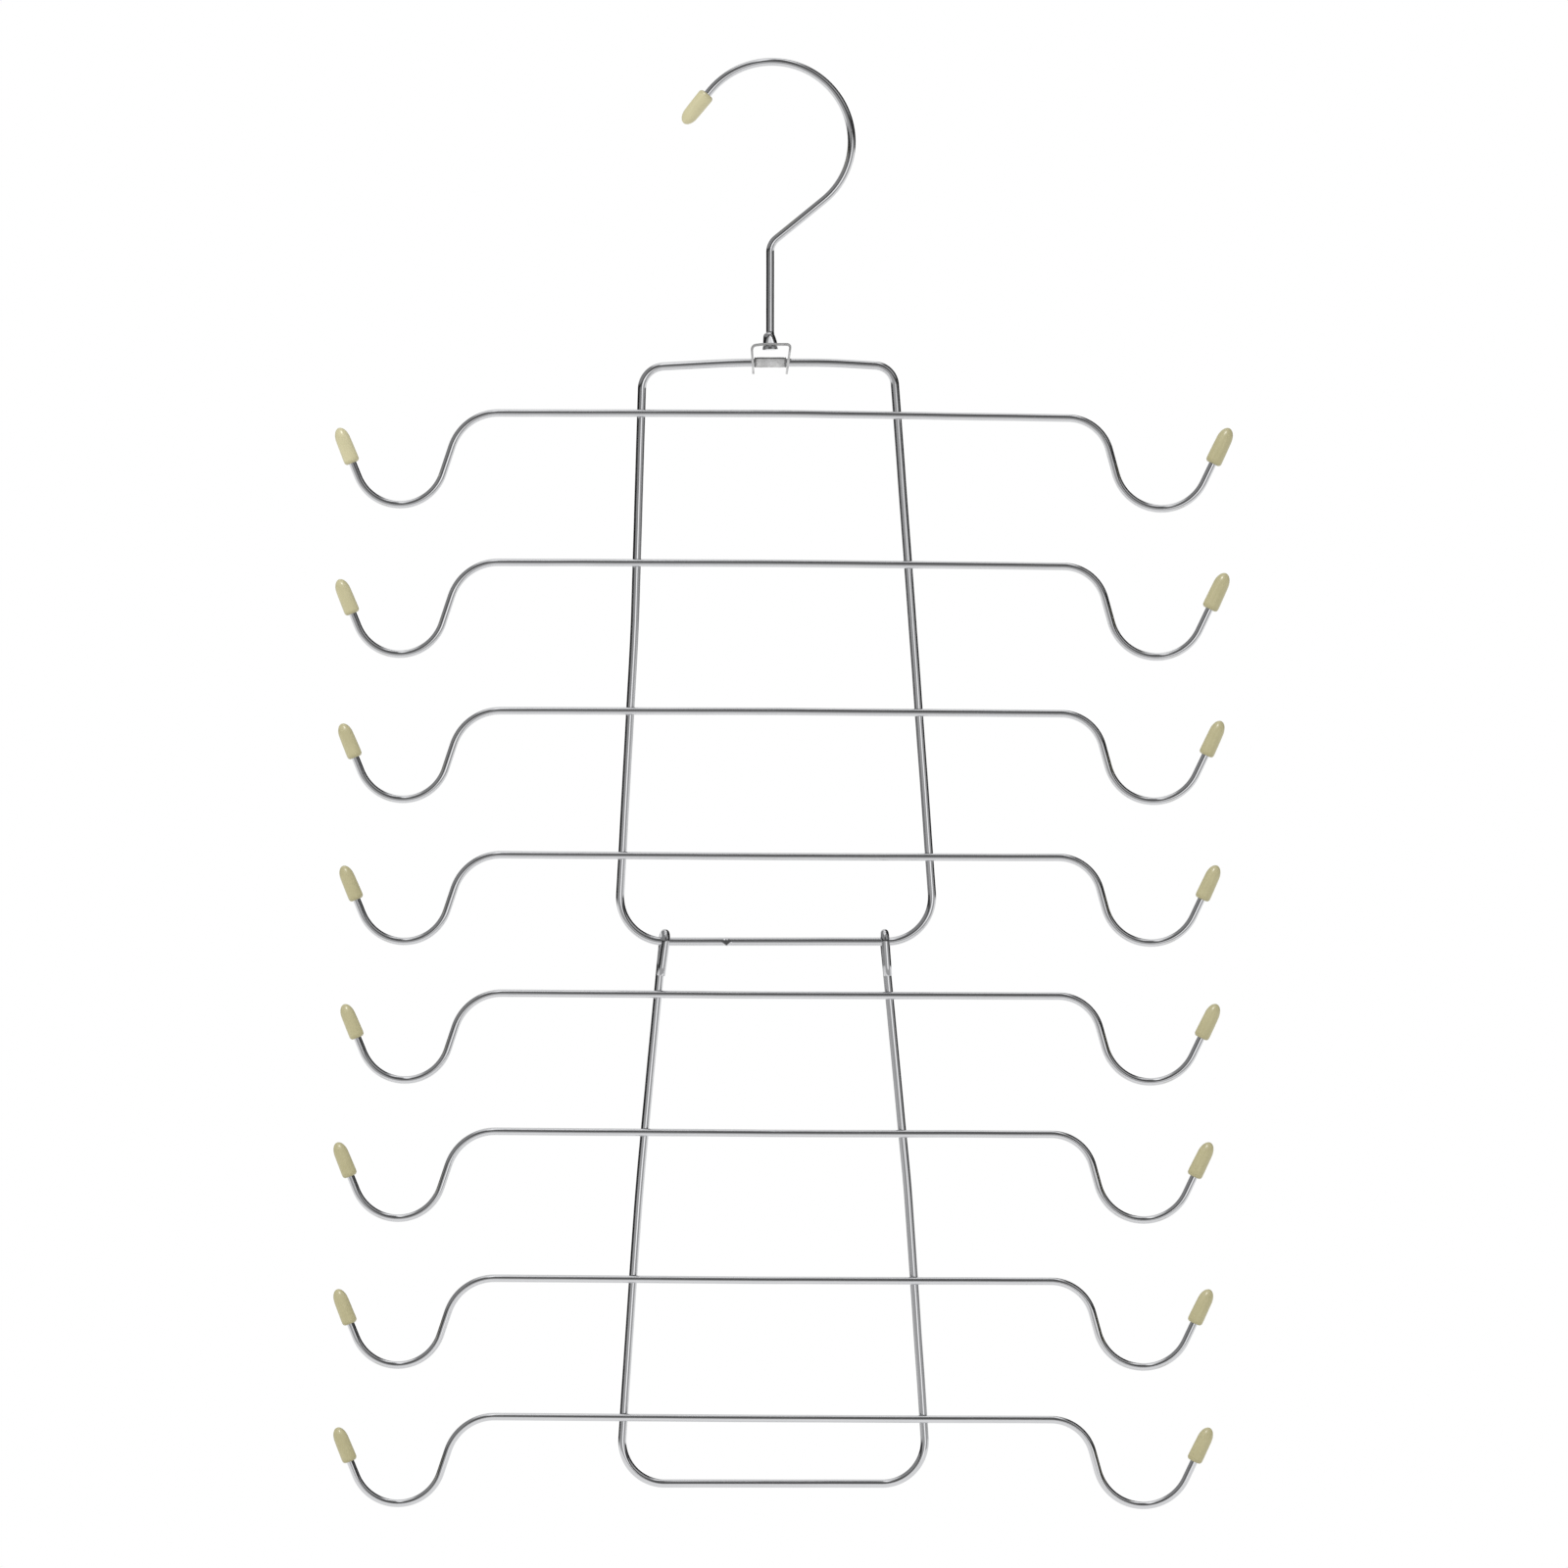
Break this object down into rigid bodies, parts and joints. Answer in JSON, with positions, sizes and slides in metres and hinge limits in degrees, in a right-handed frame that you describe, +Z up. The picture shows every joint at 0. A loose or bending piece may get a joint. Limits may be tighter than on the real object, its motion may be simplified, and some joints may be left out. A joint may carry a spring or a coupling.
{
  "type": "multi-tier delicates hanger",
  "caption": "Hanging wire rack for delicates: a swivelling crook carries two hinged frames with stacked arms that dip and turn up at both ends.",
  "frame": {"origin": "seat of the crook, where its inner top rests on a rod, on the axis of the stem", "axes": "+Z up along the stem, +X to the right along the arms, -Y towards the viewer, the side that the arms are welded on"},
  "size_m": [0.367, 0.012, 0.5919],
  "materials": {
    "chrome_wire": "bright chrome plate on drawn steel wire",
    "zinc_plate": "dull zinc plate on pressed sheet",
    "vinyl": "soft beige vinyl with a low sheen"
  },
  "bodies": {
    "hook": {"hook_wire": "chrome_wire", "hook_tip": "vinyl"},
    "bracket": {"swivel_bracket": "zinc_plate"},
    "upper": {"upper_frame": "chrome_wire", "bar_sleeve": "zinc_plate", "arm_1": "chrome_wire", "arm_2": "chrome_wire", "arm_3": "chrome_wire", "arm_4": "chrome_wire", "arm_1_tip_left": "vinyl", "arm_1_tip_right": "vinyl", "arm_2_tip_left": "vinyl", "arm_2_tip_right": "vinyl", "arm_3_tip_left": "vinyl", "arm_3_tip_right": "vinyl", "arm_4_tip_left": "vinyl", "arm_4_tip_right": "vinyl"},
    "lower": {"lower_frame": "chrome_wire", "arm_5": "chrome_wire", "arm_6": "chrome_wire", "arm_7": "chrome_wire", "arm_8": "chrome_wire", "arm_5_tip_left": "vinyl", "arm_5_tip_right": "vinyl", "arm_6_tip_left": "vinyl", "arm_6_tip_right": "vinyl", "arm_7_tip_left": "vinyl", "arm_7_tip_right": "vinyl", "arm_8_tip_left": "vinyl", "arm_8_tip_right": "vinyl"}
  },
  "joints": [
    {"name": "hook_swivel", "type": "hinge", "parent": "hook", "child": "bracket", "pos_m": [0, 0, -0.1135], "axis": [0, 0, 1], "continuous": true},
    {"name": "bracket_swing", "type": "hinge", "parent": "bracket", "child": "upper", "pos_m": [0, 0, -0.12114], "axis": [1, 0, 0], "range_deg": [-120, 120]},
    {"name": "frame_fold", "type": "hinge", "parent": "upper", "child": "lower", "pos_m": [0, 0, -0.35744], "axis": [1, 0, 0], "range_deg": [-120, 178]}
  ]
}
